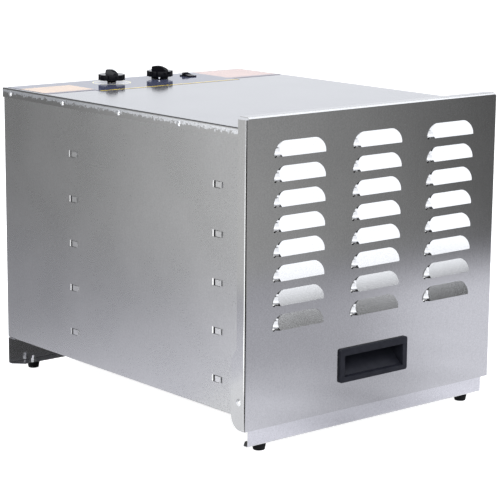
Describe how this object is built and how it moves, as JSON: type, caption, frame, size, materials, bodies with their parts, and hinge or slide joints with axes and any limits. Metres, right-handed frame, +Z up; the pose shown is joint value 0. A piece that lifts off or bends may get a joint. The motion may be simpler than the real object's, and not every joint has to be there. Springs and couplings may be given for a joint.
{
  "type": "food dehydrator",
  "caption": "Box-shaped countertop food dehydrator in folded stainless sheet with a lift-off louvred door, sliding wire trays, rear fan and heater, and top-mounted knobs and switch.",
  "frame": {"origin": "on the bench, under the middle of the overall box", "axes": "+X to the right seen from the front, +Y to the back, +Z up; the door faces -Y"},
  "size_m": [0.4406, 0.554, 0.428],
  "materials": {
    "side_steel": "fine grained sheet",
    "door_steel": "fine grained sheet",
    "cover_steel": "bright smooth sheet",
    "inner_steel": "mill finish sheet",
    "bracket_steel": "bright folded sheet",
    "zinc_fastener": "zinc plated",
    "tray_wire": "chrome plated wire",
    "black_plastic": "satin black moulding",
    "handle_plastic": "fine textured dark grey moulding",
    "foot_rubber": "matt black rubber",
    "label_film": "printed film",
    "timer_case": "cream moulding",
    "thermostat_case": "plain brass",
    "copper_bulb": "drawn copper tube",
    "motor_iron": "laminated iron",
    "fan_aluminium": "pressed sheet",
    "element_sheath": "heat darkened sheath",
    "magnet_ferrite": "sintered ferrite",
    "terminal_plastic": "cream moulding"
  },
  "bodies": {
    "body": {"left_side_panel": "side_steel", "right_side_panel": "side_steel", "floor_panel": "inner_steel", "rear_panel": "side_steel", "top_cover": "cover_steel", "front_rail": "inner_steel", "fan_baffle": "inner_steel", "control_label": "label_film", "front_foot_bracket": "bracket_steel", "rear_foot_bracket": "bracket_steel", "rubber_feet": "foot_rubber", "foot_screws": "zinc_fastener", "foot_nuts": "zinc_fastener", "cover_screws": "zinc_fastener", "rear_screws": "zinc_fastener", "tray_rail_left_1": "inner_steel", "tray_rail_left_2": "inner_steel", "tray_rail_left_3": "inner_steel", "tray_rail_left_4": "inner_steel", "tray_rail_left_5": "inner_steel", "tray_rail_right_1": "inner_steel", "tray_rail_right_2": "inner_steel", "tray_rail_right_3": "inner_steel", "tray_rail_right_4": "inner_steel", "tray_rail_right_5": "inner_steel", "door_magnets": "magnet_ferrite", "timer_body": "timer_case", "thermostat_body": "thermostat_case", "thermostat_bulb": "copper_bulb", "switch_housing": "black_plastic", "fan_shroud": "inner_steel", "fan_motor": "motor_iron", "motor_bracket": "inner_steel", "heating_element": "element_sheath", "element_posts": "bracket_steel", "terminal_block": "terminal_plastic", "cord_gland": "black_plastic", "gland_nut": "black_plastic"},
    "door": {"door_panel": "door_steel", "door_studs": "zinc_fastener", "door_handle": "handle_plastic", "handle_clips": "bracket_steel"},
    "tray_1_body": {"tray_1": "tray_wire"},
    "tray_2_body": {"tray_2": "tray_wire"},
    "tray_3_body": {"tray_3": "tray_wire"},
    "tray_4_body": {"tray_4": "tray_wire"},
    "tray_5_body": {"tray_5": "tray_wire"},
    "tray_6_body": {"tray_6": "tray_wire"},
    "tray_7_body": {"tray_7": "tray_wire"},
    "tray_8_body": {"tray_8": "tray_wire"},
    "tray_9_body": {"tray_9": "tray_wire"},
    "tray_10_body": {"tray_10": "tray_wire"},
    "timer_dial": {"timer_knob": "black_plastic", "timer_shaft": "zinc_fastener"},
    "thermostat_dial": {"thermostat_knob": "black_plastic", "thermostat_screw": "zinc_fastener", "thermostat_shaft": "zinc_fastener"},
    "rocker": {"switch_rocker": "black_plastic"},
    "fan": {"fan_blade": "fan_aluminium", "fan_shaft": "zinc_fastener"}
  },
  "joints": [
    {"name": "door_lift_off", "type": "slide", "parent": "body", "child": "door", "axis": [0, -0.7071, 0.7071], "range_m": [0, 0.6]},
    {"name": "tray_1_slide", "type": "slide", "parent": "body", "child": "tray_1_body", "axis": [0, -1, 0], "range_m": [0, 0.36]},
    {"name": "tray_2_slide", "type": "slide", "parent": "body", "child": "tray_2_body", "axis": [0, -1, 0], "range_m": [0, 0.33]},
    {"name": "tray_3_slide", "type": "slide", "parent": "body", "child": "tray_3_body", "axis": [0, -1, 0], "range_m": [0, 0.3]},
    {"name": "tray_4_slide", "type": "slide", "parent": "body", "child": "tray_4_body", "axis": [0, -1, 0], "range_m": [0, 0.27]},
    {"name": "tray_5_slide", "type": "slide", "parent": "body", "child": "tray_5_body", "axis": [0, -1, 0], "range_m": [0, 0.24]},
    {"name": "tray_6_slide", "type": "slide", "parent": "body", "child": "tray_6_body", "axis": [0, -1, 0], "range_m": [0, 0.21]},
    {"name": "tray_7_slide", "type": "slide", "parent": "body", "child": "tray_7_body", "axis": [0, -1, 0], "range_m": [0, 0.18]},
    {"name": "tray_8_slide", "type": "slide", "parent": "body", "child": "tray_8_body", "axis": [0, -1, 0], "range_m": [0, 0.15]},
    {"name": "tray_9_slide", "type": "slide", "parent": "body", "child": "tray_9_body", "axis": [0, -1, 0], "range_m": [0, 0.12]},
    {"name": "tray_10_slide", "type": "slide", "parent": "body", "child": "tray_10_body", "axis": [0, -1, 0], "range_m": [0, 0.09]},
    {"name": "timer_turn", "type": "hinge", "parent": "body", "child": "timer_dial", "pos_m": [-0.058, 0.227, 0.42], "axis": [0, 0, -1], "range_deg": [0, 330]},
    {"name": "thermostat_turn", "type": "hinge", "parent": "body", "child": "thermostat_dial", "pos_m": [0.029, 0.227, 0.42], "axis": [0, 0, -1], "range_deg": [0, 300]},
    {"name": "rocker_tip", "type": "hinge", "parent": "body", "child": "rocker", "pos_m": [0.082, 0.227, 0.4102], "axis": [-1, 0, 0], "range_deg": [0, 25]},
    {"name": "fan_spin", "type": "hinge", "parent": "body", "child": "fan", "pos_m": [0, 0.181, 0.228], "axis": [0, 1, 0], "continuous": true}
  ],
  "couplings": [
    {"joint": "tray_1_slide", "follows": "door_lift_off", "ratio": 0.6},
    {"joint": "tray_2_slide", "follows": "door_lift_off", "ratio": 0.55},
    {"joint": "tray_3_slide", "follows": "door_lift_off", "ratio": 0.5},
    {"joint": "tray_4_slide", "follows": "door_lift_off", "ratio": 0.45},
    {"joint": "tray_5_slide", "follows": "door_lift_off", "ratio": 0.4},
    {"joint": "tray_6_slide", "follows": "door_lift_off", "ratio": 0.35},
    {"joint": "tray_7_slide", "follows": "door_lift_off", "ratio": 0.3},
    {"joint": "tray_8_slide", "follows": "door_lift_off", "ratio": 0.25},
    {"joint": "tray_9_slide", "follows": "door_lift_off", "ratio": 0.2},
    {"joint": "tray_10_slide", "follows": "door_lift_off", "ratio": 0.15}
  ]
}
